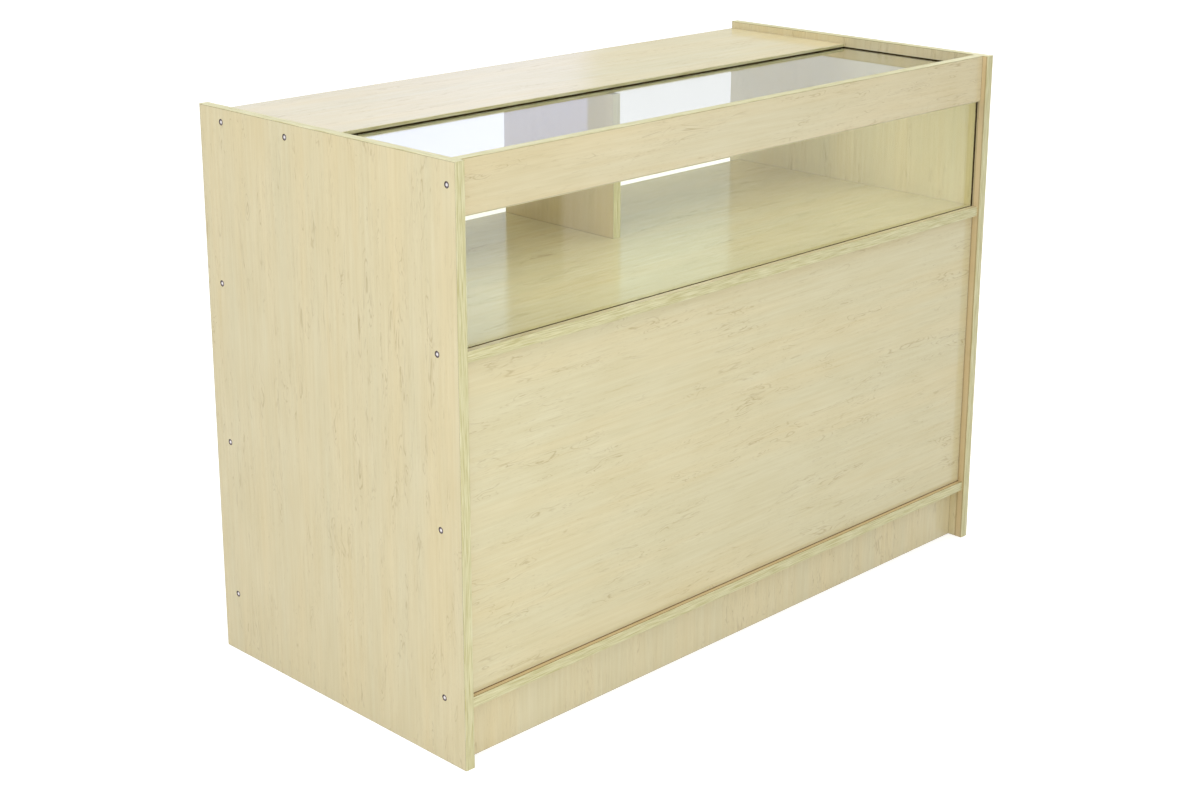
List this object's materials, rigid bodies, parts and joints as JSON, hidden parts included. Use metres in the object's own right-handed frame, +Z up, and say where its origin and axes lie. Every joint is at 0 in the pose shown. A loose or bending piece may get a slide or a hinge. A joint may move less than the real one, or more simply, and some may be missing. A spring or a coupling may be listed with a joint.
{
  "type": "shop counter",
  "caption": "Free-standing shop counter of maple-effect board: glazed display space over a closed front, with open-backed shelves behind.",
  "frame": {"origin": "middle of the footprint, on the floor", "axes": "+Z up, -Y towards the customer's side (the closed, glazed front), +Y towards the seller's side, X along the counter"},
  "size_m": [1.2, 0.57, 0.87],
  "materials": {
    "maple_board": "satin, fine-grained maple-effect melamine face",
    "edge_band": "satin",
    "clear_glass": "clear float glass, gloss",
    "zinc_screw": "zinc-plated",
    "beech_dowel": "raw"
  },
  "bodies": {
    "root": {"left_side_panel": "maple_board", "left_side_front_band": "edge_band", "left_side_top_band": "edge_band", "left_side_rear_band": "edge_band", "right_side_panel": "maple_board", "right_side_front_band": "edge_band", "right_side_top_band": "edge_band", "right_side_rear_band": "edge_band", "top_board": "maple_board", "top_board_front_band": "edge_band", "top_board_rear_band": "edge_band", "front_top_rail": "maple_board", "rail_top_band": "edge_band", "rail_bottom_band": "edge_band", "top_glass": "clear_glass", "front_glass": "clear_glass", "display_deck": "maple_board", "deck_front_band": "edge_band", "deck_rear_band": "edge_band", "display_divider": "maple_board", "divider_front_band": "edge_band", "divider_rear_band": "edge_band", "lower_front_panel": "maple_board", "storage_shelf": "maple_board", "storage_shelf_rear_band": "edge_band", "bottom_shelf": "maple_board", "bottom_shelf_front_band": "edge_band", "bottom_shelf_rear_band": "edge_band", "kickboard": "maple_board", "left_connector_screws": "zinc_screw", "right_connector_screws": "zinc_screw", "divider_screws": "zinc_screw", "rail_dowels": "beech_dowel", "lower_panel_dowels": "beech_dowel", "kickboard_dowels": "beech_dowel", "divider_dowels": "beech_dowel"}
  },
  "joints": []
}
